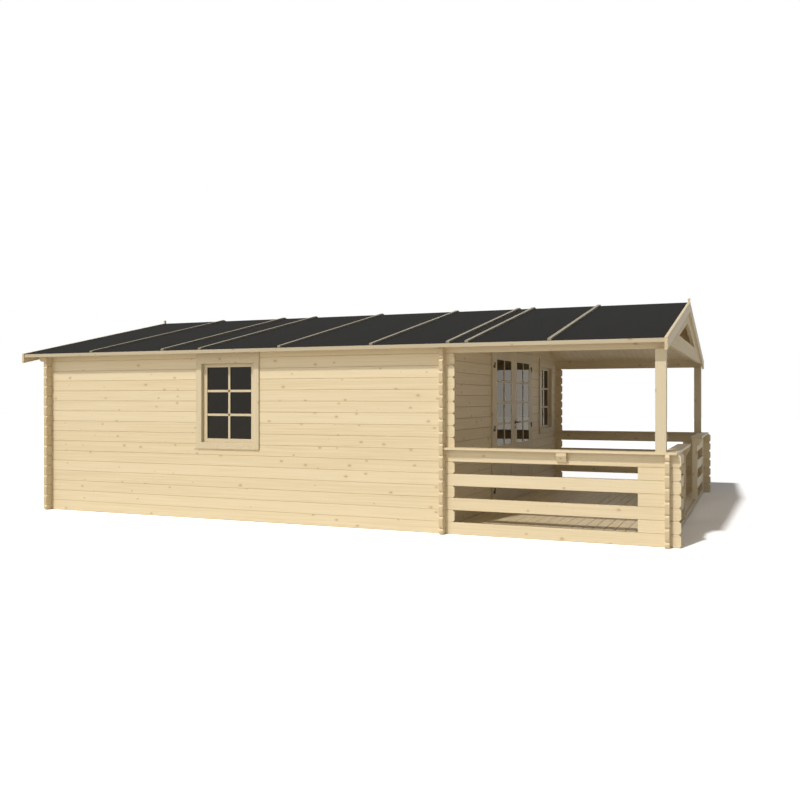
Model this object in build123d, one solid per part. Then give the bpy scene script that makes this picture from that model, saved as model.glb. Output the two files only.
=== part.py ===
from build123d import *
import math
import os

# A log cabin of interlocking spruce logs with a low gable roof, a double door and a railed veranda.
# X runs from the rear gable to the veranda, Y across the width, Z up from the ground.
# The origin is on the ground under the middle of the whole building.

# Logs and their crossings
log_height = 135.0
log_thickness = 44.0
log_end = 105.0  # length of a log past the wall that it crosses
long_bevel = 5.0  # bevel on the long edges of a log, half of each V joint
tip_cut = 23.0  # slanting cut on the corners of a log's free end
side_courses = 15  # whole logs below the wall plate
rail_courses = 7

# Plan
cabin_length = 5770.0
cabin_width = 5750.0
veranda_depth = 2415.0  # from the front wall to the outer face of the front railing

# Roof
roof_pitch = 12.24
plate_trim = 18.0  # what the slope takes off the outer edge of the plate
eave_overhang = 160.0
rear_overhang = 300.0
front_setback = 8.0  # from the front railing's face back to the bargeboard's face
roof_board = 19.0
felt_thickness = 4.0
fascia_height = 42.0
fascia_thickness = 18.0
barge_height = 126.0
barge_thickness = 30.0
barge_rise = 6.0  # bargeboard above the felt
barge_tail = 14.0  # bargeboard past the fascia
spike_half = 14.0  # half the width of the small spike on the bargeboards at the ridge
spike_height = 45.0
purlin_height = 140.0
purlin_width = 44.0
purlin_offset = 1440.0
batten_width = 40.0
batten_height = 20.0
ridge_joint = 1.0  # open joint at the ridge between the two sides' battens and bargeboards
batten_places = (-4890.0, -3746.0, -3179.0, -2045.0, -842.0, 85.0, 301.0, 1214.0)
corbel_length = 197.0  # wall plate past the rear gable
corbel_radius = 75.0

# Truss over the front posts
truss_thickness = 44.0
tie_bottom = 2083.0
tie_height = 178.0
truss_hole_half = 1323.0
truss_hole_height = 258.0

# Veranda
handrail_thickness = 25.0
handrail_out = 72.0
handrail_in = 30.0
post_size = 107.0
entry_width = 2160.0
corner_fill = 276.0  # short logs inside the veranda's corners
end_post_width = 44.0
end_post_depth = 71.0
bracket_width = 106.0
bracket_height = 103.0
bracket_depth = 65.0
bracket_toe = 30.0  # depth of a bracket at its lower end
bracket_cut = 40.0  # height of the square part of a bracket's nose
side_bracket_place = 1313.0

# Floors
deck_board = 26.0
cabin_board = 19.0
bearer_width = 60.0
bearer_count = 7
bearer_inset = 300.0

# Doorway and door leaves
trim_width = 80.0
trim_thickness = 20.0
door_clear_width = 2000.0
door_head = 2192.5
lining_thickness = 35.0
sill_height = 25.0
stop_depth = 15.0
leaf_thickness = 40.0
leaf_gap = 5.0
stop_gap = 6.0
meeting_gap = 8.0
hinge_stile = 125.0
leaf_glass_width = 720.0
leaf_glass_bottom = 888.0
leaf_glass_top = 2040.0
panel_bottom = 290.0
panel_top = 770.0
panel_recess = 8.0
glass_thickness = 6.0
leaf_glass_setback = 4.0  # glass behind the outer face of a leaf

# Door furniture
hinge_heights = (300.0, 1120.0, 1960.0)
hinge_half = 36.0
barrel_radius = 7.0
pin_radius = 4.0
pin_clearance = 0.3
barrel_lift = 0.5  # barrel clear of the leaf's face
hinge_plate_width = 46.0
hinge_plate = 3.0
handle_height = 1180.0
handle_inset = 45.0
rose_radius = 26.0
rose_thickness = 8.0
lever_radius = 8.0
lever_reach = 48.0
lever_length = 115.0

# Windows
window_width = 757.0
window_height = 986.0
window_lining = 20.0
window_trim = 83.0
window_head_trim = 138.0
window_depth = 90.0  # lining from the wall's outer face inwards
sash_setback = 28.0  # from the wall's outer face to the sash
sash_thickness = 40.0
sash_stile = 54.0
sash_rail = 45.0
side_window_sill = 969.0
front_window_sill = 1038.0
side_window_place = -2882.0
front_window_place = 2040.0

half_width = cabin_width / 2
rear_reach = cabin_length + rear_overhang
front_reach = veranda_depth + log_end
front_x = (rear_reach - front_reach) / 2
rear_x = front_x - cabin_length
rail_x = front_x + veranda_depth
tip_y = half_width + log_end
inner_y = half_width - log_thickness
half_log = log_height / 2
floor_top = half_log
plate_bottom = side_courses * log_height
rail_top = rail_courses * log_height
slope = math.tan(math.radians(roof_pitch))
plumb = 1 / math.cos(math.radians(roof_pitch))
board_rise = roof_board * plumb
felt_rise = board_rise + felt_thickness * plumb
batten_rise = felt_rise + batten_height * plumb
roof_rear = front_x - rear_reach + barge_thickness
roof_front = rail_x - front_setback - barge_thickness
eave_y = half_width + eave_overhang
edge_y = eave_y + fascia_thickness
post_x = roof_front - post_size / 2
rail_in_x = rail_x - log_thickness
door_half = door_clear_width / 2
cut_half = door_half + lining_thickness
wall_head = door_head + lining_thickness


def underside(y):
    """Height of the roof boards' lower face."""
    return (side_courses + 1) * log_height - plate_trim + (half_width - abs(y)) * slope


def block(low, high):
    size = [b - a for a, b in zip(low, high)]
    return Pos(*low) * Box(*size, align=(Align.MIN, Align.MIN, Align.MIN))


def prism(points, along, length):
    """A closed outline drawn in space and pushed along an axis."""
    outline = Wire.make_polygon([Vector(*p) for p in points], close=True)
    return extrude(Face(outline), amount=length, dir=along)


def mirrored(shape):
    return mirror(shape, about=Plane.XZ)


def both_sides(shapes):
    """Pieces of the near side with their likes on the far side."""
    return [*shapes, *[mirrored(shape) for shape in shapes]]


def save(name, *shapes):
    solids = [solid for shape in shapes for solid in shape.solids()]
    export_step(Compound(solids), f"parts/{name}.step")


def log_outline(row):
    """A log's outline in X and Z: bottom, top, left and right, with the cuts on both ends."""
    bottom, top, left, left_cut, right, right_cut = row
    outline = Pos((left + right) / 2, (bottom + top) / 2) * Rectangle(right - left, top - bottom)
    for end, cut in ((left, left_cut), (right, right_cut)):
        if cut:
            tips = [tip for tip in outline.vertices() if abs(tip.X - end) < long_bevel]
            outline = chamfer(tips, cut)
    return outline


def section_outline(rows):
    """Outline of stacked logs seen from their end, with the bevels of the V joints."""
    outer = []
    inner = []
    for row in rows:
        bottom, top = row[:2]
        outer += [(log_thickness - long_bevel, bottom), (log_thickness, bottom + long_bevel),
                  (log_thickness, top - long_bevel), (log_thickness - long_bevel, top)]
        inner += [(long_bevel, bottom), (0, bottom + long_bevel), (0, top - long_bevel), (long_bevel, top)]
    points = []
    for point in outer + inner[::-1]:
        if not points or math.dist(point, points[-1]) > 0.001:
            points.append(point)
    return points


def log_stack(rows):
    """Logs laid on each other along X, with their outer face at Y 0 and their inner face inwards."""
    outlines = [extrude(log_outline(row), amount=log_thickness) for row in rows]
    face = Rot(90, 0, 0) * (outlines[0].fuse(*outlines[1:]) if outlines[1:] else outlines[0])
    face = Pos(0, log_thickness, 0) * face
    left = min(row[2] for row in rows)
    right = max(row[4] for row in rows)
    section = section_outline(rows)
    return face & prism([(left, y, z) for y, z in section], (1, 0, 0), right - left)


def on_side(shape):
    return Pos(0, -half_width, 0) * shape


def on_gable(shape, x):
    """Turn a wall drawn along X so that it runs along Y with its outer face at x."""
    return Pos(x, 0, 0) * Rot(0, 0, 90) * shape


def side_notches(x, first, last):
    """Where the cores of the cross logs pass through a side wall."""
    return [block((x - log_thickness, -half_width, (k - 0.25) * log_height),
                  (x, -inner_y, (k + 0.25) * log_height)) for k in range(first, last + 1)]


def gable_notches(x, count):
    """Where the cores of the side logs pass through a cross wall, on both sides."""
    near = [block((x - log_thickness, -half_width, (k + 0.25) * log_height),
                  (x, -inner_y, (k + 0.75) * log_height)) for k in range(count)]
    return near + [mirrored(cut) for cut in near]


def cross_rows(top, left, left_bevel, right, right_bevel):
    """Rows of a cross wall: a half log at the ground, then whole logs."""
    rows = [(0, half_log, left, left_bevel, right, right_bevel)]
    while rows[-1][1] + log_height <= top + 0.001:
        bottom = rows[-1][1]
        rows.append((bottom, bottom + log_height, left, left_bevel, right, right_bevel))
    return rows


def under_roof(x):
    """Everything below the roof boards in a slice one log thick behind x."""
    reach = tip_y + log_height
    points = [(-reach, -log_height), (reach, -log_height), (reach, underside(reach)),
              (0, underside(0)), (-reach, underside(reach))]
    return prism([(x - log_thickness, y, z) for y, z in points], (1, 0, 0), log_thickness)


def window_hole(center, sill):
    half = window_width / 2 + window_lining
    return block((center - half, -log_thickness, sill - window_lining),
                 (center + half, 2 * log_thickness, sill + window_height + window_lining))


def side_wall():
    rows = []
    for k in range(side_courses):
        railing = k < rail_courses and k % 2 == 0
        front = front_x if railing else front_x + log_end
        rows.append((k * log_height, (k + 1) * log_height, rear_x - log_end, tip_cut,
                     front, 0 if railing else tip_cut))
    hole = window_hole(front_x + side_window_place, side_window_sill)
    wall = on_side(log_stack(rows) - hole)
    return wall - side_notches(rear_x + log_thickness, 0, side_courses) \
        - side_notches(front_x, 0, side_courses)


def purlin(y):
    """A purlin whose top follows the roof; at the ridge it follows both slopes."""
    low, high = y - purlin_width / 2, y + purlin_width / 2
    bottom = underside(y) - purlin_height
    points = [(low, bottom), (high, bottom), (high, underside(high)), (y, underside(y)),
              (low, underside(low))]
    return prism([(roof_rear, py, pz) for py, pz in points], (1, 0, 0), roof_front - roof_rear)


def purlins():
    return [purlin(0), purlin(-purlin_offset), purlin(purlin_offset)]


def rear_wall():
    cross_top = (side_courses + 0.5) * log_height
    rows = cross_rows(cross_top, -tip_y, tip_cut, tip_y, tip_cut)
    while rows[-1][1] < underside(0):
        bottom = rows[-1][1]
        rows.append((bottom, bottom + log_height, -inner_y, 0, inner_y, 0))
    x = rear_x + log_thickness
    wall = on_gable(log_stack(rows), x) & under_roof(x)
    return wall - gable_notches(x, side_courses + 1) - purlins()


def front_wall():
    """The part of the front wall on the near side of the doorway."""
    cross_top = (side_courses + 0.5) * log_height
    rows = cross_rows(cross_top, -tip_y, tip_cut, -cut_half, 0)
    rows.append((cross_top, wall_head, -inner_y, 0, -cut_half, 0))
    wall = on_gable(log_stack(rows), front_x) & under_roof(front_x)
    return wall - gable_notches(front_x, side_courses + 1)


def front_gable():
    rows = [(wall_head, wall_head + log_height, -inner_y, 0, inner_y, 0)]
    while rows[-1][1] < underside(0):
        bottom = rows[-1][1]
        rows.append((bottom, bottom + log_height, -inner_y, 0, inner_y, 0))
    return (on_gable(log_stack(rows), front_x) & under_roof(front_x)) - purlins()


def wall_plate():
    """The top log of a side wall, which runs on as the beam of the veranda."""
    top = (side_courses + 1) * log_height
    rear = rear_x - corbel_length
    points = [(-half_width, plate_bottom + long_bevel), (-half_width + long_bevel, plate_bottom),
              (-inner_y - long_bevel, plate_bottom), (-inner_y, plate_bottom + long_bevel),
              (-inner_y, underside(inner_y)), (-half_width, underside(half_width))]
    log = prism([(rear, y, z) for y, z in points], (1, 0, 0), roof_front - rear)
    corner = block((rear, -half_width, plate_bottom), (rear + corbel_radius, -inner_y,
                                                       plate_bottom + corbel_radius))
    center = Pos(rear + corbel_radius, -half_width, plate_bottom + corbel_radius) * Rot(-90, 0, 0)
    curve = center * Cylinder(corbel_radius, log_thickness, align=(Align.CENTER, Align.CENTER, Align.MIN))
    log = log - (corner - curve)
    for x in (rear_x + log_thickness, front_x):
        log = log - block((x - log_thickness, -half_width, plate_bottom),
                          (x, -inner_y, plate_bottom + log_height / 4))
    return log


def slope_strip(low_y, high_y, low_rise, high_rise, start, end):
    """A board that lies on the near slope, between two distances from the ridge."""
    points = [(-high_y, underside(high_y) + low_rise), (-low_y, underside(low_y) + low_rise),
              (-low_y, underside(low_y) + high_rise), (-high_y, underside(high_y) + high_rise)]
    return prism([(start, y, z) for y, z in points], (1, 0, 0), end - start)


def roof_boards():
    return slope_strip(0, eave_y, 0, board_rise, roof_rear, roof_front)


def felt():
    return slope_strip(0, edge_y, board_rise, felt_rise, roof_rear, roof_front)


def fascia():
    return slope_strip(eave_y, edge_y, board_rise - fascia_height, board_rise, roof_rear, roof_front)


def battens():
    return [slope_strip(ridge_joint / 2, edge_y, felt_rise, batten_rise, front_x + place - batten_width / 2,
                        front_x + place + batten_width / 2) for place in batten_places]


def barge_board(start):
    """A bargeboard of the near slope with its half of the spike at the ridge."""
    high = felt_rise + barge_rise
    end = start + barge_thickness
    board = slope_strip(ridge_joint / 2, edge_y + barge_tail, high - barge_height, high, start, end)
    spike_bottom = underside(spike_half) + high - barge_height / 2
    return board + block((start, -spike_half, spike_bottom),
                         (end, -ridge_joint / 2, underside(0) + high + spike_height))


def truss():
    points = [(-inner_y, tie_bottom), (inner_y, tie_bottom), (inner_y, underside(inner_y)),
              (0, underside(0)), (-inner_y, underside(inner_y))]
    hole_bottom = tie_bottom + tie_height
    hole = [(-truss_hole_half, hole_bottom), (truss_hole_half, hole_bottom),
            (0, hole_bottom + truss_hole_height)]
    start = roof_front - truss_thickness
    frame = prism([(start, y, z) for y, z in points], (1, 0, 0), truss_thickness)
    return frame - prism([(start, y, z) for y, z in hole], (1, 0, 0), truss_thickness) - purlins()


def post():
    y = -half_width + log_thickness / 2
    half = post_size / 2
    return block((post_x - half, y - half, rail_top + handrail_thickness),
                 (post_x + half, y + half, plate_bottom))


def side_rail_logs():
    """The long veranda logs of one side: they carry on every second log of the side wall."""
    logs = []
    for k in range(0, rail_courses, 2):
        row = (k * log_height, (k + 1) * log_height, front_x, 0, rail_x + log_end, tip_cut)
        logs.append(on_side(log_stack([row])) - side_notches(rail_x, 0, rail_courses))
    return logs


def side_corner_logs():
    """Short logs between the long ones at the veranda's corner."""
    logs = []
    for k in range(1, rail_courses, 2):
        row = (k * log_height, (k + 1) * log_height, rail_in_x - corner_fill, 0,
               rail_x + log_end, tip_cut)
        logs.append(on_side(log_stack([row])) - side_notches(rail_x, 0, rail_courses))
    return logs


def front_rail_log(bottom, top, right):
    row = (bottom, top, -tip_y, tip_cut, right, 0)
    return on_gable(log_stack([row]), rail_x) - gable_notches(rail_x, rail_courses)


def front_rail_logs():
    """The long logs of the front railing on the near side of the entry, with a half log on top."""
    right = -entry_width / 2 - end_post_width
    logs = []
    for k in range(1, rail_courses - 2, 2):
        logs.append(front_rail_log((k + 0.5) * log_height, (k + 1.5) * log_height, right))
    rows = [((rail_courses - 1.5) * log_height, (rail_courses - 0.5) * log_height,
             -tip_y, tip_cut, right, 0),
            ((rail_courses - 0.5) * log_height, rail_top, -tip_y, tip_cut, right, 0)]
    logs.append(on_gable(log_stack(rows), rail_x) - gable_notches(rail_x, rail_courses))
    return logs


def front_corner_logs():
    right = -inner_y + corner_fill
    return [front_rail_log((k + 0.5) * log_height, (k + 1.5) * log_height, right)
            for k in range(0, rail_courses - 2, 2)]


def threshold_log():
    row = (0, half_log, -tip_y, tip_cut, tip_y, tip_cut)
    return on_gable(log_stack([row]), rail_x) - gable_notches(rail_x, 1)


def door_sill_log():
    row = (0, half_log, -cut_half, 0, cut_half, 0)
    return on_gable(log_stack([row]), front_x)


def end_post():
    middle = rail_x - log_thickness / 2
    return block((middle - end_post_depth / 2, -entry_width / 2 - end_post_width, floor_top),
                 (middle + end_post_depth / 2, -entry_width / 2, rail_top))


def side_handrail():
    """The board on the side railing, mitred at the corner and notched round the wall's log end."""
    out_y, in_y = -half_width - handrail_out, -inner_y + handrail_in
    out_x, in_x = rail_x + handrail_out, rail_in_x - handrail_in
    points = [(front_x, out_y), (out_x, out_y), (in_x, in_y), (front_x, in_y)]
    board = prism([(x, y, rail_top) for x, y in points], (0, 0, 1), handrail_thickness)
    return board - block((front_x, -half_width, rail_top),
                         (front_x + log_end, -inner_y, rail_top + handrail_thickness))


def front_handrail():
    out_y, in_y = -half_width - handrail_out, -inner_y + handrail_in
    out_x, in_x = rail_x + handrail_out, rail_in_x - handrail_in
    end = -entry_width / 2
    points = [(out_x, out_y), (out_x, end), (in_x, end), (in_x, in_y)]
    return prism([(x, y, rail_top) for x, y in points], (0, 0, 1), handrail_thickness)


def bracket():
    """A block under the handrail, against a railing that faces -Y at Y 0."""
    points = [(0, 0), (-bracket_depth, 0), (-bracket_depth, -bracket_cut),
              (-bracket_toe, -bracket_height), (0, -bracket_height)]
    return prism([(-bracket_width / 2, y, z) for y, z in points], (1, 0, 0), bracket_width)


def side_bracket():
    return Pos(front_x + side_bracket_place, -half_width, rail_top) * bracket()


def front_bracket():
    y = -entry_width / 2 - end_post_width - bracket_width / 2
    return Pos(rail_x, y, rail_top) * Rot(0, 0, 90) * bracket()


def bearers(start, end, top):
    """Floor bearers along X, laid on the ground."""
    reach = inner_y - bearer_inset
    gap = 2 * reach / (bearer_count - 1)
    return [block((start, -reach + k * gap - bearer_width / 2, 0),
                  (end, -reach + k * gap + bearer_width / 2, top)) for k in range(bearer_count)]


def frame_ring(width, sill, head, border, head_border, low, high):
    """A rectangular ring round an opening, drawn along X, between two depths."""
    half = width / 2
    outer = block((-half - border, low, sill - border), (half + border, high, head + head_border))
    return outer - block((-half, low, sill), (half, high, head))


def door_frame():
    half = door_half
    shape = block((-half - trim_width, -trim_thickness, floor_top),
                  (half + trim_width, 0, door_head + trim_width))
    shape += block((-cut_half, 0, floor_top), (cut_half, log_thickness, wall_head))
    shape += block((-half - trim_width, log_thickness, floor_top),
                   (half + trim_width, log_thickness + trim_thickness, door_head + trim_width))
    deep = log_thickness + trim_thickness
    stop = leaf_thickness - trim_thickness + stop_gap
    shape -= block((-half, -trim_thickness, floor_top + sill_height), (half, stop, door_head))
    inner = half - stop_depth
    shape -= block((-inner, stop, floor_top + sill_height), (inner, deep, door_head - stop_depth))
    return on_gable(shape, front_x)


def door_leaf():
    """The far leaf, before it is turned on to the wall: its hinge side is at the larger X."""
    hinge = door_half - leaf_gap
    front = -trim_thickness
    back = front + leaf_thickness
    bottom = floor_top + sill_height + leaf_gap
    leaf = block((meeting_gap / 2, front, bottom), (hinge, back, door_head - leaf_gap))
    right = hinge - hinge_stile
    left = right - leaf_glass_width
    leaf -= block((left, front, leaf_glass_bottom), (right, back, leaf_glass_top))
    for low, high in ((front, front + panel_recess), (back - panel_recess, back)):
        leaf -= block((left, low, panel_bottom), (right, high, panel_top))
    return leaf


def leaf_glass():
    right = door_half - leaf_gap - hinge_stile
    face = -trim_thickness + leaf_glass_setback
    return block((right - leaf_glass_width, face, leaf_glass_bottom),
                 (right, face + glass_thickness, leaf_glass_top))


def hinge_axis():
    return door_half - leaf_gap / 2, -trim_thickness - barrel_lift - barrel_radius


def barrel(radius, bottom, top):
    x, y = hinge_axis()
    return Pos(x, y, bottom) * Cylinder(radius, top - bottom, align=(Align.CENTER, Align.CENTER, Align.MIN))


def leaf_hinges():
    """The upper halves of the lift-off hinges, which hang the leaf on the pins."""
    x, y = hinge_axis()
    face = -trim_thickness
    halves = []
    for z in hinge_heights:
        half = barrel(barrel_radius, z, z + hinge_half)
        half += block((x - hinge_plate_width, face - hinge_plate, z), (x, face, z + hinge_half))
        halves.append(half - barrel(pin_radius + pin_clearance, z, z + hinge_half))
    return halves


def frame_hinges():
    """The lower halves, screwed to the door frame, with the pins."""
    x, y = hinge_axis()
    face = -trim_thickness
    halves = []
    for z in hinge_heights:
        top = z - pin_clearance
        half = barrel(barrel_radius, z - hinge_half, top)
        half += block((x, face - hinge_plate, z - hinge_half), (x + hinge_plate_width, face, top))
        halves.append(half + barrel(pin_radius, top, z + hinge_half - hinge_plate))
    return halves


def handle():
    """A lever on a round rose, outside and inside, on the leaf beside its meeting edge."""
    x = meeting_gap / 2 + handle_inset
    faces = ((-trim_thickness, -1), (leaf_thickness - trim_thickness, 1))
    sides = []
    for face, way in faces:
        rose_middle = face + way * rose_thickness / 2
        side = Pos(x, rose_middle, handle_height) * Rot(90, 0, 0) * Cylinder(rose_radius, rose_thickness)
        middle = face + way * lever_reach / 2
        side += Pos(x, middle, handle_height) * Rot(90, 0, 0) * Cylinder(lever_radius, lever_reach)
        end = face + way * (lever_reach - lever_radius)
        arm = Pos(x + lever_length / 2, end, handle_height) * Rot(0, 90, 0)
        side += arm * Cylinder(lever_radius, lever_length)
        sides.append(side)
    return sides


def window(sill):
    """Frame, sash and glass of a window, drawn along X with the wall's outer face at Y 0."""
    head = sill + window_height
    frame = frame_ring(window_width, sill, head, window_trim, window_head_trim, -trim_thickness, 0)
    frame += frame_ring(window_width, sill, head, window_lining, window_lining, 0, window_depth)
    frame += frame_ring(window_width, sill, head, window_trim, window_head_trim, log_thickness,
                        log_thickness + trim_thickness)
    half = window_width / 2
    sash_back = sash_setback + sash_thickness
    sash = block((-half, sash_setback, sill), (half, sash_back, head))
    pane_half = half - sash_stile
    pane = block((-pane_half, sash_setback, sill + sash_rail), (pane_half, sash_back, head - sash_rail))
    middle = sash_setback + sash_thickness / 2
    glass = block((-pane_half, middle - glass_thickness / 2, sill + sash_rail),
                  (pane_half, middle + glass_thickness / 2, head - sash_rail))
    return frame, sash - pane, glass


def build_walls():
    wall = side_wall()
    save("near_side_wall", wall)
    save("far_side_wall", mirrored(wall))
    save("rear_gable_wall", rear_wall())
    wall = front_wall()
    hole = on_gable(window_hole(front_window_place, front_window_sill), front_x)
    save("front_wall_near", wall)
    save("front_wall_far", mirrored(wall) - hole)
    save("front_gable", front_gable())
    save("door_sill_log", door_sill_log())
    save("near_wall_plate", wall_plate())
    save("far_wall_plate", mirrored(wall_plate()))


def build_roof():
    save("purlins", *purlins())
    for name, shape in (("roof_boards", roof_boards()), ("roof_felt", felt())):
        save(f"near_{name}", shape)
        save(f"far_{name}", mirrored(shape))
    save("eave_fascias", *both_sides([fascia()]))
    save("felt_battens", *both_sides(battens()))
    save("front_barge_boards", *both_sides([barge_board(roof_front)]))
    save("rear_barge_boards", *both_sides([barge_board(roof_rear - barge_thickness)]))
    save("front_truss", truss())


def build_veranda():
    save("veranda_posts", *both_sides([post()]))
    save("near_side_rail_logs", *side_rail_logs())
    save("far_side_rail_logs", *[mirrored(log) for log in side_rail_logs()])
    save("side_corner_logs", *both_sides(side_corner_logs()))
    save("front_rail_logs", *both_sides(front_rail_logs()))
    save("front_corner_logs", *both_sides(front_corner_logs()))
    save("entry_posts", *both_sides([end_post()]))
    save("side_handrails", *both_sides([side_handrail()]))
    save("front_handrails", *both_sides([front_handrail()]))
    save("handrail_brackets", *both_sides([side_bracket(), front_bracket()]))
    save("threshold_log", threshold_log())


def build_floors():
    cabin_rear, cabin_front = rear_x + log_thickness, front_x - log_thickness
    deck_bottom = floor_top - deck_board
    board_bottom = floor_top - cabin_board
    save("cabin_floor", block((cabin_rear, -inner_y, board_bottom), (cabin_front, inner_y, floor_top)))
    save("veranda_floor", block((front_x, -inner_y, deck_bottom), (rail_in_x, inner_y, floor_top)))
    save("floor_bearers", *bearers(cabin_rear, cabin_front, board_bottom),
         *bearers(front_x, rail_in_x, deck_bottom))


def build_doors():
    leaf_pieces = (("door_leaf", [door_leaf()]), ("door_glass", [leaf_glass()]),
                   ("door_hinges", leaf_hinges()))
    for name, shapes in leaf_pieces:
        placed = [on_gable(shape, front_x) for shape in shapes]
        save(f"far_{name}", *placed)
        save(f"near_{name}", *[mirrored(shape) for shape in placed])
    save("door_handle", *[on_gable(shape, front_x) for shape in handle()])
    save("frame_hinges", *both_sides([on_gable(shape, front_x) for shape in frame_hinges()]))
    save("door_frame", door_frame())


def build_windows():
    """One window in each side wall and one in the front wall, on the far side of the door."""
    side_x = front_x + side_window_place
    places = ((Pos(side_x, -half_width, 0), side_window_sill),
              (Pos(side_x, half_width, 0) * Rot(0, 0, 180), side_window_sill),
              (Pos(front_x, front_window_place, 0) * Rot(0, 0, 90), front_window_sill))
    windows = [[place * piece for piece in window(sill)] for place, sill in places]
    for name, pieces in zip(("window_frames", "window_sashes", "window_glass"), zip(*windows)):
        save(name, *pieces)


os.makedirs("parts", exist_ok=True)
build_walls()
build_roof()
build_veranda()
build_floors()
build_doors()
build_windows()
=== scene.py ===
import math

import bmesh
import bpy
from mathutils import Matrix


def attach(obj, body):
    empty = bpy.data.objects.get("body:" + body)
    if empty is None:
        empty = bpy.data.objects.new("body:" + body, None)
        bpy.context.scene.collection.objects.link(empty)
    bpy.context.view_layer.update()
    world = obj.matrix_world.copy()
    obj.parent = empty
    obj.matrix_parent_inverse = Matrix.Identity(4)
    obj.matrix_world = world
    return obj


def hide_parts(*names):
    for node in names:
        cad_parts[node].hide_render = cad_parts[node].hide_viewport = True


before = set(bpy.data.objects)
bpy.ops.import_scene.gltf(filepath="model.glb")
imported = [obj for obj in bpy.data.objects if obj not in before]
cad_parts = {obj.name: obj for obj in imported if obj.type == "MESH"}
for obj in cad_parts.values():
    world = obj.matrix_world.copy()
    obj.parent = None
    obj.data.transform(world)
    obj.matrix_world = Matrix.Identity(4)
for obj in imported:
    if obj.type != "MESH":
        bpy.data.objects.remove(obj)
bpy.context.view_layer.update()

print("frame loaded:", len(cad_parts), "nodes")

# Camera and light

view = {
    "spot": (5.023, -12.051, 1.508),  # metres from the middle of the building
    "turn": 22.5,  # degrees from square on to the long wall
    "sensor": 36.0,
    "focal": 39.02,
    "shift": -0.0009,
    "reach": 200.0,
}
light = {
    "sunTurn": -15.6,  # degrees from square on to the long wall, towards the rear
    "sunHeight": 51.0,
    "sunStrength": 2.3,
    "sunSize": 3.0,
    "fillTurn": -15.0,  # a wide soft light from the camera's side
    "fillHeight": 12.0,
    "fillStrength": 1.2,
    "fillSize": 50.0,
    "colour": (1.0, 0.965, 0.9),
    "skyStrength": 0.12,
    "skyColour": (0.96, 0.98, 1.0),
}
ground = {
    "half": 60.0,
    "drop": 0.001,  # below the bearers, so that the two don't share a face
    "colour": (0.74, 0.72, 0.68),
    "pale": (1.36, 1.40, 1.50),  # the floor as the camera sees it
    "lift": 0.06,  # what the floor gives off towards the camera
    "liftColour": (1.0, 0.75, 0.4),
}


def setCamera():
    camera = bpy.data.cameras.new("camera")
    camera.sensor_width = view["sensor"]
    camera.lens = view["focal"]
    camera.shift_y = view["shift"]
    camera.clip_end = view["reach"]
    holder = bpy.data.objects.new("camera", camera)
    holder.location = view["spot"]
    holder.rotation_euler = (math.radians(90), 0, math.radians(view["turn"]))
    bpy.context.scene.collection.objects.link(holder)
    bpy.context.scene.camera = holder


def setSun(name):
    sun = bpy.data.lights.new(name, "SUN")
    sun.energy = light[name + "Strength"]
    sun.color = light["colour"]
    sun.angle = math.radians(light[name + "Size"])
    lean = math.radians(90 - light[name + "Height"])
    holder = bpy.data.objects.new(name, sun)
    holder.rotation_euler = (lean, 0, math.radians(light[name + "Turn"]))
    holder.visible_glossy = name == "sun"  # the fill would show as a pale patch in the glass
    bpy.context.scene.collection.objects.link(holder)


setCamera()
setSun("sun")
setSun("fill")
bpy.context.scene.view_settings.view_transform = "Standard"


# Shader sums


class Value:  # one socket of a material, so that sums on it read as Python
    def __init__(self, tree, socket=None):
        self.tree = tree
        self.socket = socket

    def node(self, kind, settings=None, inputs=None, output=0):
        made = self.tree.nodes.new("ShaderNode" + kind)
        for name, setting in (settings or {}).items():
            setattr(made, name, setting)
        for name, given in (inputs or {}).items():
            if isinstance(given, Value):
                self.tree.links.new(given.socket, made.inputs[name])
            else:
                made.inputs[name].default_value = given
        return Value(self.tree, made.outputs[output]) if made.outputs else None

    def sum(self, operation, *values):
        return self.node("Math", {"operation": operation}, dict(enumerate(values)))

    def __add__(self, other):
        return self.sum("ADD", self, other)

    def __radd__(self, other):
        return self.sum("ADD", other, self)

    def __sub__(self, other):
        return self.sum("SUBTRACT", self, other)

    def __rsub__(self, other):
        return self.sum("SUBTRACT", other, self)

    def __mul__(self, other):
        return self.sum("MULTIPLY", self, other)

    def __truediv__(self, other):
        return self.sum("DIVIDE", self, other)

    def __gt__(self, other):
        return self.sum("GREATER_THAN", self, other)

    def __abs__(self):
        return self.sum("ABSOLUTE", self)


def newMaterial(name):
    material = bpy.data.materials.new(name)
    material.use_nodes = True
    material.node_tree.nodes.clear()
    return material, Value(material.node_tree)


def finish(start, shader):
    start.node("OutputMaterial", {}, {"Surface": shader})


def mixColours(start, amount, first, second, blend="MIX"):
    settings = {"data_type": "RGBA", "blend_type": blend}
    return start.node("Mix", settings, {0: amount, 6: first, 7: second}, 2)


def solid(colour):
    return (*colour, 1.0)


def fade(start, value, low, high):  # 0 at low, 1 at high, smooth between
    return start.node("MapRange", {"interpolation_type": "SMOOTHSTEP"},
                      {"Value": value, "From Min": low, "From Max": high})


def noise(start, spot, scale, detail=2.0, rough=0.5):
    return start.node("TexNoise", {}, {"Vector": spot, "Scale": scale, "Detail": detail,
                                       "Roughness": rough})


def join(start, x, y, z):
    return start.node("CombineXYZ", {}, {0: x, 1: y, 2: z})


def split(start, vector):
    return [start.node("SeparateXYZ", {}, {0: vector}, k) for k in range(3)]


def seenStraight(start):  # 1 for the camera, and for what glass mirrors or lets through to it
    camera, mirror, through = (start.node("LightPath", {}, {}, kind) for kind in
                               ("Is Camera Ray", "Is Glossy Ray", "Is Transmission Ray"))
    return start.sum("MINIMUM", camera + mirror + through, 1.0)


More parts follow.
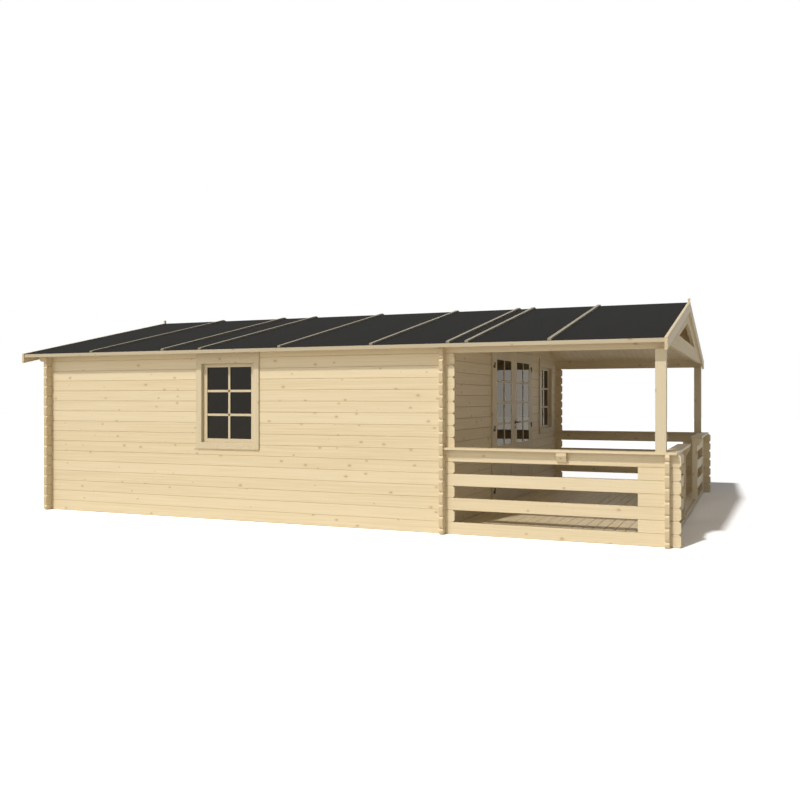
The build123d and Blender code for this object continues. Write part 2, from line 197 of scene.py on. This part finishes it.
def setFloor():
    material, start = newMaterial("paleFloor")
    seen = seenStraight(start)
    tone = mixColours(start, seen, solid(ground["colour"]), solid(ground["pale"]))
    matt = start.node("BsdfDiffuse", {}, {"Color": tone})
    glow = start.node("Emission", {}, {"Color": solid(ground["liftColour"]),
                                       "Strength": seen * ground["lift"]})
    finish(start, start.node("AddShader", {}, {0: matt, 1: glow}))
    mesh = bpy.data.meshes.new("floor")
    shape = bmesh.new()
    bmesh.ops.create_grid(shape, x_segments=1, y_segments=1, size=ground["half"])
    bmesh.ops.translate(shape, verts=shape.verts, vec=(0, 0, -ground["drop"]))
    shape.to_mesh(mesh)
    shape.free()
    mesh.materials.append(material)
    floor = bpy.data.objects.new("floor", mesh)
    bpy.context.scene.collection.objects.link(floor)


def setSky():
    world = bpy.data.worlds.new("studio")
    bpy.context.scene.world = world
    world.use_nodes = True
    world.node_tree.nodes.clear()
    start = Value(world.node_tree)
    soft = start.node("Background", {}, {"Color": solid(light["skyColour"]),
                                         "Strength": light["skyStrength"]})
    white = start.node("Background", {}, {"Color": (1, 1, 1, 1), "Strength": 1.0})
    mixed = start.node("MixShader", {}, {0: seenStraight(start), 1: soft, 2: white})
    start.node("OutputWorld", {}, {"Surface": mixed})


setFloor()
setSky()
print("stage set")


# Where the building stands in the shared frame, in metres

pitch = math.radians(12.24)
place = {
    "frontWall": 1.775,
    "rearWall": -3.995,
    "railing": 4.190,
    "sideWall": 2.875,
    "wallThick": 0.044,
    "floorTop": 0.0675,
    "ridge": 2.142 + 2.875 * math.tan(pitch),  # lower face of the roof boards
    "roofRear": -4.265,
    "roofFront": 4.152,
    "slopeLength": 3.031 / math.cos(pitch),
}


def turned(angle, axis="Z"):
    return Matrix.Rotation(math.radians(angle), 4, axis)


def moved(x, y, z):
    return Matrix.Translation((x, y, z))


flipped = Matrix.Diagonal((1, -1, 1, 1))
frontFace = moved(place["frontWall"], 0, 0) @ turned(90)
farSlope = moved(0, 0, place["ridge"]) @ Matrix.Rotation(-pitch, 4, "X")
nearSlope = flipped @ farSlope


# Shapes of the added pieces


def plank(shape, low, high, edge=0.0, at=Matrix(), wood=0):
    made = bmesh.ops.create_cube(shape, size=1.0)["verts"]
    bmesh.ops.scale(shape, verts=made, vec=[b - a for a, b in zip(low, high)])
    bmesh.ops.translate(shape, verts=made, vec=[(a + b) / 2 for a, b in zip(low, high)])
    bmesh.ops.transform(shape, verts=made, matrix=at)
    for face in {face for vert in made for face in vert.link_faces}:
        face.material_index = wood
    if edge:
        edges = list({line for vert in made for line in vert.link_edges})
        bmesh.ops.bevel(shape, geom=edges, offset=edge, segments=1, profile=0.5,
                        affect="EDGES", material=-1)


def screwHead(shape, spot, radius, depth, at=Matrix(), sides=10):  # on a face that looks along Z
    bmesh.ops.create_cone(shape, cap_ends=True, segments=sides, radius1=radius,
                          radius2=radius * 0.8, depth=depth, matrix=at @ moved(*spot))


def setPiece(name, shape, materials, body="cabin", node=None):
    bmesh.ops.recalc_face_normals(shape, faces=shape.faces)
    mesh = bpy.data.meshes.new(name)
    shape.to_mesh(mesh)
    shape.free()
    for material in materials:
        mesh.materials.append(material)
    piece = bpy.data.objects.new(name, mesh)
    bpy.context.scene.collection.objects.link(piece)
    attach(piece, body)
    if node:
        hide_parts(node)


def evenly(count, low, high):  # even places from low to high, both ends included
    return [low + (high - low) * k / (count - 1) for k in range(count)]


def pairs(places):  # each place with the next one
    return zip(places, places[1:])


def glazingBars(shape, sides, heights, depths, look, at):  # one upright bar, level ones between rows
    (left, right), (low, high), (near, far) = sides, heights, depths
    half, middle = look["bar"] / 2, (left + right) / 2
    plank(shape, (middle - half, near, low), (middle + half, far, high), look["barEdge"], at)
    for z in evenly(look["rows"] + 1, low, high)[1:-1]:
        plank(shape, (left, near, z - half), (right, far, z + half), look["barEdge"], at, 1)


# Softwood

spruce = {
    "pale": (0.735, 0.625, 0.430),
    "warm": (0.640, 0.515, 0.320),
    "sawn": (0.580, 0.480, 0.320),  # end grain
    "ring": (0.52, 0.38, 0.20),
    # colour of the joint band: the joints' own darker line together with painted shade in the groove
    # between logs
    "joint": (0.42, 0.31, 0.17),
    "knot": (0.34, 0.18, 0.08),
    "knotScale": 5.5,
    "knotShare": 0.15,  # share of places without a knot
    "knotSize": 0.0125,
    "knotDark": 0.42,
    "bandScale": 75.0,
    "streakScale": 330.0,
    "spread": 0.45,  # how far the boards differ from each other
    "jointWidth": (0.0008, 0.0040),
    "bump": 0.25,
    "bumpHeight": 0.0012,
}
course = {
    "pitch": 0.135,  # from joint to joint
    "start": 0.0,  # place of one joint
    "seamAndShade": 0.5,  # how dark the joints are: their own darker line together with painted shade in the groove
    "seed": 0.0,
    "colourScale": (1.0, 1.0, 1.0),
    "slope": False,  # runs down the roof
    "frame": False,  # stands on side walls and on gables alike
}


def knots(start, run, rise, seed):
    spots = {"voronoi_dimensions": "2D", "feature": "F1"}
    settings = {"Vector": join(start, run * 0.62, rise + seed * 9.0, 0.0),
                "Scale": spruce["knotScale"], "Randomness": 1.0}
    bent = noise(start, join(start, run * 20, rise * 20, 0.0), 1.0, 1.0)
    away = start.node("TexVoronoi", spots, settings, "Distance") / spruce["knotScale"]
    pick = start.node("SeparateColor", {}, {0: start.node("TexVoronoi", spots, settings, "Color")})
    size = fade(start, pick, spruce["knotShare"], 1.0) * spruce["knotSize"]
    near = (away + (bent - 0.5) * 0.006) / (size + 0.0001)
    there = size > 0.0015
    core = (1.0 - fade(start, near, 0.75, 1.1)) * there
    halo = (1.0 - fade(start, near, 0.9, 2.6)) * there
    return core, halo


def softwood(name, along, over, changes):  # axis of the grain, axis across the boards
    look = {**course, **changes}
    material, start = newMaterial(name)
    axes = split(start, start.node("TexCoord", {}, {}, "Object"))
    if look["slope"]:
        lean, stand = math.sin(pitch), math.cos(pitch)
        level = abs(axes[1])
        axes[1:] = [level * stand - axes[2] * lean, level * lean + axes[2] * stand]
    if look["frame"]:
        axes[:2] = [axes[0] + axes[1], axes[0] - axes[1]]
    facing = split(start, start.node("TexCoord", {}, {}, "Normal"))[along]
    run, rise, deep = axes[along], axes[over], axes[3 - along - over]
    row = (rise - look["start"]) / look["pitch"]
    board = start.node("Math", {"operation": "FLOOR"}, {0: row})
    number = board * 3.17 + (deep > 0.0) * 17.0 + look["seed"]
    seed = start.node("TexWhiteNoise", {"noise_dimensions": "1D"}, {"W": number})
    shift = run + seed * 40.0
    wave = noise(start, join(start, shift * 0.55, rise * 6.0, board * 5.3), 1.0)
    swayed = (rise + wave * 0.05) * spruce["bandScale"]
    bands = noise(start, join(start, shift * 0.9, swayed, board * 5.3 + deep * 30.0), 1.0, 3.0, 0.6)
    fine = [axis * spruce["streakScale"] for axis in (rise, deep)]
    streaks = noise(start, join(start, shift * 3.0, *fine), 1.0)
    core, halo = knots(start, shift, rise, seed)
    end = fade(start, abs(facing), 0.75, 0.9) * (0.0 if look["frame"] else 1.0)
    rings = start.node("TexWave", {"wave_type": "RINGS", "rings_direction": "X"},
                       {"Vector": join(start, 0.0, rise, deep + 0.05), "Scale": 55.0,
                        "Distortion": 1.5, "Detail": 2.0})
    tone = seed * spruce["spread"] + (bands - 0.5) * 2.1 + (streaks - 0.5) * 0.7
    tone = start.node("Clamp", {}, {0: tone})
    colour = mixColours(start, tone, solid(spruce["pale"]), solid(spruce["warm"]))
    colour = mixColours(start, halo * 0.30, colour, solid(spruce["ring"]))
    colour = mixColours(start, core * spruce["knotDark"], colour, solid(spruce["knot"]))
    ringTone = start.node("Clamp", {}, {0: rings * 0.6})
    sawn = mixColours(start, ringTone, solid(spruce["sawn"]), solid(spruce["ring"]))
    colour = mixColours(start, end * 0.75, colour, sawn)
    # a dark band along each joint: painted shade in the groove between logs, on top of the joint's
    # own darker line
    part = start.node("Math", {"operation": "FRACT"}, {0: row + 0.5})
    apart = abs(part - 0.5) * look["pitch"]
    seamAndShade = (1.0 - fade(start, apart, *spruce["jointWidth"])) * look["seamAndShade"]
    colour = mixColours(start, seamAndShade, colour, solid(spruce["joint"]))
    colour = mixColours(start, 1.0, colour, solid(look["colourScale"]), "MULTIPLY")
    rough = 0.58 + (bands - 0.5) * 0.12 + end * 0.12
    height = (bands - 0.5) * 0.5 + (streaks - 0.5) * 0.35 - core * 0.3
    bump = start.node("Bump", {}, {"Strength": spruce["bump"], "Distance": spruce["bumpHeight"],
                                   "Height": height})
    finish(start, start.node("BsdfPrincipled", {}, {"Base Color": colour, "Roughness": rough,
                                                    "Normal": bump}))
    return material


# Other surfaces

patina = {
    "dark": 0.78,  # the darker spots against the colour
    "grainScale": 400.0,
    "patchScale": 3.0,
    "bump": 0.3,
    "bumpHeight": 0.0006,
}
pane = {
    "index": 1.5,
    "clear": (0.24, 0.215, 0.18),  # what comes through, darkened: painted shade for the dim room behind the glass
    "gloss": (0.76, 0.71, 0.62),  # what is mirrored
    "rough": 0.02,
}


def dull(name, colour, rough, metal=0.0, shine=0.5):
    material, start = newMaterial(name)
    coords = start.node("TexCoord", {}, {}, "Object")
    grain = noise(start, coords, patina["grainScale"], 3.0)
    patch = noise(start, coords, patina["patchScale"], 3.0)
    dark = [channel * patina["dark"] for channel in colour]
    tone = mixColours(start, patch * 0.6 + grain * 0.4, solid(colour), solid(dark))
    bump = start.node("Bump", {}, {"Strength": patina["bump"], "Distance": patina["bumpHeight"],
                                   "Height": grain})
    inputs = {"Base Color": tone, "Roughness": rough + (grain - 0.5) * 0.1, "Metallic": metal,
              "Specular IOR Level": shine, "Normal": bump}
    finish(start, start.node("BsdfPrincipled", {}, inputs))
    return material


def glass():
    material, start = newMaterial("clearGlass")
    sheen = start.node("Fresnel", {}, {"IOR": pane["index"]})
    # the see-through part is tinted dark: painted shade for the room behind
    clear = start.node("BsdfTransparent", {}, {"Color": solid(pane["clear"])})
    gloss = start.node("BsdfAnisotropic", {}, {"Color": solid(pane["gloss"]),
                                               "Roughness": pane["rough"]})
    finish(start, start.node("MixShader", {}, {0: sheen, 1: clear, 2: gloss}))
    return material


whole = {"pitch": 9.0, "start": -30.0, "seamAndShade": 0.0}  # one board without a joint
trimShade = (0.89, 0.90, 0.92)
sideWood = softwood("sideLogWood", 0, 2, {})
# the gable logs get a darker joint band than the side walls: more painted shade in their grooves
gableWood = softwood("gableLogWood", 1, 2, {"start": -0.0675, "seed": 5.0, "seamAndShade": 0.85})
uprightWood = softwood("uprightWood", 2, 0, {**whole, "seed": 9.0, "frame": True, "colourScale": trimShade})
crossWood = softwood("crossWood", 0, 2, {**whole, "seed": 2.0, "frame": True, "colourScale": trimShade})
slopeWood = softwood("slopeWood", 1, 2, {**whole, "seed": 6.0, "slope": True})
battenWood = softwood("battenWood", 1, 2, {**whole, "seed": 6.0, "slope": True,
                                           "colourScale": (0.43, 0.45, 0.48)})
fasciaWood = softwood("fasciaWood", 0, 2, {**whole, "seed": 8.0, "colourScale": (0.69, 0.70, 0.72)})
# the front truss is darker and yellower than the other boards: partly painted shade on this shaded,
# gable-facing part, partly its own yellower tone
trussWood = softwood("trussWood", 1, 2, {**whole, "seed": 5.0, "colourScale": (0.84, 0.79, 0.66)})
# the roof lining is lightened 1.25 times: painted light on the soffit under the eaves
slopeBoardWood = softwood("slopeBoardWood", 1, 0, {"pitch": 0.09565, "start": -4.265, "seed": 3.0,
                                                   "slope": True, "colourScale": (1.25, 1.25, 1.25)})
deckWood = softwood("deckWood", 1, 0, {"pitch": 0.11855, "start": 1.775, "seed": 4.0})
feltMatt = dull("feltMatt", (0.023, 0.0228, 0.0218), 0.95, 0.0, 0.06)
blackSteel = dull("blackSteel", (0.02, 0.02, 0.02), 0.45, 0.6)
brownSteel = dull("brownSteel", (0.14, 0.105, 0.065), 0.5, 0.5)
zincSteel = dull("zincSteel", (0.30, 0.29, 0.27), 0.5, 0.8)
paneGlass = glass()

dressed = (  # nodes by material, all others are side wall wood
    (paneGlass, ("window_glass", "near_door_glass", "far_door_glass")),
    (feltMatt, ("near_roof_felt", "far_roof_felt")),
    (blackSteel, ("door_handle",)),
    (brownSteel, ("frame_hinges", "near_door_hinges", "far_door_hinges")),
    (gableWood, ("rear_gable_wall", "front_wall_near", "front_wall_far", "front_gable",
                 "door_sill_log", "front_rail_logs", "front_corner_logs", "threshold_log",
                 "front_handrails")),
    (slopeWood, ("front_barge_boards", "rear_barge_boards")),
    (battenWood, ("felt_battens",)),
    (fasciaWood, ("eave_fascias",)),
    (trussWood, ("front_truss",)),
    (uprightWood, ("veranda_posts", "entry_posts", "door_frame", "near_door_leaf", "far_door_leaf",
                   "window_frames", "window_sashes")),
    (deckWood, ("veranda_floor", "cabin_floor", "near_roof_boards", "far_roof_boards")),
)
surfaces = {node: material for material, nodes in dressed for node in nodes}
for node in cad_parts:
    mesh = bpy.data.objects[node].data
    mesh.materials.clear()
    mesh.materials.append(surfaces.get(node, sideWood))
print("materials on")


# Windows

window = {
    "half": 0.3785,  # half the width between the linings
    "height": 0.986,
    "sidePlace": -2.882,  # from the front wall to the middle of a side window
    "sideSill": 0.969,
    "frontPlace": 2.040,  # from the building's middle to the front window's
    "frontSill": 1.038,
    "trim": 0.083,
    "headTrim": 0.138,
    "trimThick": 0.020,
    "lining": 0.020,
    "liningDepth": 0.090,
    "stile": 0.054,
    "rail": 0.045,
    "setback": 0.028,
    "sashThick": 0.040,
    "glassHalf": 0.003,
    "bar": 0.030,
    "barDepth": 0.011,
    "barEdge": 0.003,
    "rows": 3,
    "edge": 0.002,
}
sideWindow = place["frontWall"] + window["sidePlace"]
windowPlaces = (
    (moved(sideWindow, -place["sideWall"], 0), window["sideSill"]),
    (moved(sideWindow, place["sideWall"], 0) @ turned(180), window["sideSill"]),
    (frontFace @ moved(window["frontPlace"], 0, 0), window["frontSill"]),
)


def windowRing(shape, half, heights, widths, depths, at):  # stiles stand between the two rails
    (low, high), (side, bottom, top), (near, far) = heights, widths, depths
    edge, wide = window["edge"], half + side
    for way in (-1, 1):
        start, end = sorted((way * half, way * wide))
        plank(shape, (start, near, low), (end, far, high), edge, at)
    plank(shape, (-wide, near, low - bottom), (wide, far, low), edge, at, 1)
    plank(shape, (-wide, near, high), (wide, far, high + top), edge, at, 1)


def buildWindows():
    frames, sashes = bmesh.new(), bmesh.new()
    half, wall, thick = window["half"], place["wallThick"], window["trimThick"]
    paneHalf = half - window["stile"]
    trims = (window["trim"], window["trim"], window["headTrim"])
    stiles = (window["stile"], window["rail"], window["rail"])
    sash = (window["setback"], window["setback"] + window["sashThick"])
    outer, inner = sum(sash) / 2 - window["glassHalf"], sum(sash) / 2 + window["glassHalf"]
    for at, sill in windowPlaces:
        opening = (sill, sill + window["height"])
        for depths in ((-thick, 0.0), (wall, wall + thick)):
            windowRing(frames, half, opening, trims, depths, at)
        windowRing(frames, half, opening, [window["lining"]] * 3, (0.0, window["liningDepth"]), at)
        heights = (opening[0] + window["rail"], opening[1] - window["rail"])
        windowRing(sashes, paneHalf, heights, stiles, sash, at)
        for depths in ((outer - window["barDepth"], outer), (inner, inner + window["barDepth"])):
            glazingBars(sashes, (-paneHalf, paneHalf), heights, depths, window, at)
    setPiece("windowFrameBoards", frames, (uprightWood, crossWood), node="window_frames")
    setPiece("windowSashBars", sashes, (uprightWood, crossWood), node="window_sashes")


buildWindows()
print("windows done")


# Doorway and leaves

door = {
    "half": 1.000,  # half the clear width
    "head": 2.1925,
    "trim": 0.080,
    "trimThick": 0.020,
    "lining": 0.035,
    "sill": 0.025,
    "sillEdge": 0.003,
    "stop": 0.015,
    "stopPlace": 0.026,  # inwards from the wall's outer face
    "stopEdge": 0.001,
    "edge": 0.002,
}
leaf = {
    "half": 0.020,  # half the thickness
    "meeting": 0.004,  # the near side of a leaf, from the doorway's middle
    "hingeSide": 0.995,
    "foot": 0.030,  # above the floor
    "headGap": 0.005,
    "glassSides": (0.150, 0.870),
    "glassHeights": (0.888, 2.040),
    "glassFaces": (-0.016, -0.010),
    "panelHeights": (0.290, 0.770),
    "panelHalf": 0.012,
    "panelBoards": 7,
    "panelEdge": 0.005,
    "bar": 0.026,
    "barProud": 0.003,
    "barBack": 0.016,
    "barEdge": 0.002,
    "rows": 4,
    "edge": 0.002,
}


def jamb(shape, way, sides, depths, heights):
    start, end = sorted(way * side for side in sides)
    low, high = zip((start, end), depths, heights)
    plank(shape, low, high, door["edge"], frontFace)


def lintel(shape, half, depths, heights, edge):
    low, high = zip((-half, half), depths, heights)
    plank(shape, low, high, edge, frontFace, 1)


def buildDoorFrame():
    shape = bmesh.new()
    half, head, stop = door["half"], door["head"], door["stop"]
    trimmed, lined = half + door["trim"], half + door["lining"]
    wall, floor = place["wallThick"], place["floorTop"]
    outer, inner = -door["trimThick"], wall + door["trimThick"]
    top, sill = head + door["trim"], floor + door["sill"]
    for way in (-1, 1):
        jamb(shape, way, (half, trimmed), (outer, 0.0), (floor, head))
        jamb(shape, way, (half, trimmed), (wall, inner), (floor, head))
        jamb(shape, way, (half, lined), (0.0, wall), (floor, head))
        jamb(shape, way, (half - stop, half), (door["stopPlace"], inner), (sill, head))
    lintel(shape, trimmed, (outer, 0.0), (head, top), door["edge"])
    lintel(shape, trimmed, (wall, inner), (head, top), door["edge"])
    lintel(shape, lined, (0.0, wall), (head, head + door["lining"]), 0.0)
    lintel(shape, half, (door["stopPlace"], inner), (head - stop, head), door["stopEdge"])
    lintel(shape, half, (outer, inner), (floor, sill), door["sillEdge"])
    setPiece("doorFrameBoards", shape, (uprightWood, crossWood), node="door_frame")


def buildLeaf(name, body, node, at):
    shape = bmesh.new()
    half, edge = leaf["half"], leaf["edge"]
    low, high = place["floorTop"] + leaf["foot"], door["head"] - leaf["headGap"]
    (inner, outer), (glassLow, glassHigh) = leaf["glassSides"], leaf["glassHeights"]
    panelLow, panelHigh = leaf["panelHeights"]
    for left, right in ((leaf["meeting"], inner), (outer, leaf["hingeSide"])):
        plank(shape, (left, -half, low), (right, half, high), edge, at)
    for foot, top in ((low, panelLow), (panelHigh, glassLow), (glassHigh, high)):
        plank(shape, (inner, -half, foot), (outer, half, top), edge, at, 1)
    deep = leaf["panelHalf"]
    for left, right in pairs(evenly(leaf["panelBoards"] + 1, inner, outer)):
        plank(shape, (left, -deep, panelLow), (right, deep, panelHigh), leaf["panelEdge"], at)
    near, far = leaf["glassFaces"]
    for depths in ((-half - leaf["barProud"], near), (far, leaf["barBack"])):
        glazingBars(shape, leaf["glassSides"], leaf["glassHeights"], depths, leaf, at)
    setPiece(name, shape, (uprightWood, crossWood), body, node)


buildDoorFrame()
buildLeaf("farLeafBoards", "far_door_leaf", "far_door_leaf", frontFace)
buildLeaf("nearLeafBoards", "near_door_leaf", "near_door_leaf", flipped @ frontFace)
print("doors done")


# Roof and floors

roof = {
    "boardWidth": 0.096,
    "boardThick": 0.019,
    "boardEdge": 0.003,
}
deck = {
    "boards": 20,
    "thick": 0.026,
    "gap": 0.005,
    "edge": 0.002,
    "bearers": 7,
    "bearerReach": 2.531,  # the outer bearers' place
    "screw": 0.0045,
    "screwInset": 0.028,  # from a board's edge
    "screwProud": 0.0003,
    "screwDepth": 0.0008,
}
inside = {
    "boards": 48,
    "thick": 0.019,
    "edge": 0.001,
}


def buildRoofBoards(name, node, at):
    shape = bmesh.new()
    rear, front = place["roofRear"], place["roofFront"]
    count = round((front - rear) / roof["boardWidth"])
    for start, end in pairs(evenly(count + 1, rear, front)):
        high = (end, place["slopeLength"], roof["boardThick"])
        plank(shape, (start, 0, 0), high, roof["boardEdge"], at)
    setPiece(name, shape, (slopeBoardWood,), node=node)


def buildDeck():
    shape, heads = bmesh.new(), bmesh.new()
    wide, top = place["sideWall"] - place["wallThick"], place["floorTop"]
    front, rail = place["frontWall"], place["railing"] - place["wallThick"]
    gap, inset = deck["gap"] / 2, deck["screwInset"]
    bearers = evenly(deck["bearers"], -deck["bearerReach"], deck["bearerReach"])
    for start, end in pairs(evenly(deck["boards"] + 1, front, rail)):
        first = start + (gap if start > front else 0)
        last = end - (gap if end < rail else 0)
        plank(shape, (first, -wide, top - deck["thick"]), (last, wide, top), deck["edge"])
        for y in bearers:
            for x in (start + inset, end - inset):
                screwHead(heads, (x, y, top + deck["screwProud"]), deck["screw"], deck["screwDepth"])
    setPiece("verandaDeckBoards", shape, (deckWood,), node="veranda_floor")
    return heads


def buildInsideFloor():
    shape = bmesh.new()
    wall, top = place["wallThick"], place["floorTop"]
    wide = place["sideWall"] - wall
    rear, front = place["rearWall"] + wall, place["frontWall"] - wall
    for start, end in pairs(evenly(inside["boards"] + 1, rear, front)):
        plank(shape, (start, -wide, top - inside["thick"]), (end, wide, top), inside["edge"])
    setPiece("cabinFloorBoards", shape, (deckWood,), node="cabin_floor")


buildRoofBoards("farRoofLining", "far_roof_boards", farSlope)
buildRoofBoards("nearRoofLining", "near_roof_boards", nearSlope)
deckHeads = buildDeck()
buildInsideFloor()
setPiece("deckScrews", deckHeads, (zincSteel,))
print("roof and floors done")


# Screws in the handrails, the battens and the side windows' trims

screws = {
    "railTop": 0.9703,
    "railInset": 0.022,
    "sideRail": (0.25, 0.06),  # from the front wall, and from the railing's face
    "frontRail": (1.20, 0.06),  # from the building's middle, and from the side wall's face
    "rail": (0.0045, 0.0010),  # radius and depth of a head
    "battens": (-4.890, -3.746, -3.179, -2.045, -0.842, 0.085, 0.301, 1.214),
    "battenRuns": (0.10, 2.98),
    "battenTop": 0.043,  # above the roof boards' lower face
    "batten": (0.0035, 0.0016),
    "trimSides": (-0.42, 0.42),
    "trimHeights": (0.93, 1.25, 1.60, 1.93),
    "trim": (0.0035, 0.0012),
    "smallSides": 8,
}


def buildScrews():
    shape = bmesh.new()
    front, rail, side = place["frontWall"], place["railing"], place["sideWall"]
    inset, top, small = screws["railInset"], screws["railTop"], screws["smallSides"]
    start, end = screws["sideRail"]
    low, high = screws["frontRail"]
    for way in (-1, 1):
        for x in evenly(6, front + start, rail - end):
            screwHead(shape, (x, way * (side - inset), top), *screws["rail"])
        for y in evenly(4, low, side - high):
            screwHead(shape, (rail - inset, way * y, top), *screws["rail"])
    for slope in (nearSlope, farSlope):
        for x in screws["battens"]:
            for run in evenly(9, *screws["battenRuns"]):
                spot = (front + x, run, screws["battenTop"])
                screwHead(shape, spot, *screws["batten"], slope, small)
    face = side + window["trimThick"]
    nearTrim = moved(sideWindow, -face, 0) @ turned(90, "X")
    farTrim = moved(sideWindow, face, 0) @ turned(-90, "X") @ turned(180)
    for at in (nearTrim, farTrim):
        for x in screws["trimSides"]:
            for z in screws["trimHeights"]:
                screwHead(shape, (x, z, 0.0), *screws["trim"], at, small)
    setPiece("woodScrews", shape, (zincSteel,))


buildScrews()
print("screws done")


# Key plates on the far leaf

keyPlate = {
    "inset": 0.045,  # from the leaf's meeting edge
    "height": 1.108,
    "radius": 0.019,
    "thick": 0.004,
    "holeRadius": 0.0045,
    "holeThick": 0.0012,
    "holePlace": 0.0042,
}


def buildKeyPlates():
    shape = bmesh.new()
    y = leaf["meeting"] + keyPlate["inset"]
    for way in (1, -1):
        x = place["frontWall"] + way * leaf["half"]
        at = moved(x, y, keyPlate["height"]) @ turned(way * 90, "Y")
        middle = (0, 0, keyPlate["thick"] / 2)
        screwHead(shape, middle, keyPlate["radius"], keyPlate["thick"], at, 32)
        spot = (0, 0, keyPlate["holePlace"])
        screwHead(shape, spot, keyPlate["holeRadius"], keyPlate["holeThick"], at, 16)
    setPiece("keyPlates", shape, (blackSteel,), "far_door_leaf")


buildKeyPlates()
print("fittings done")
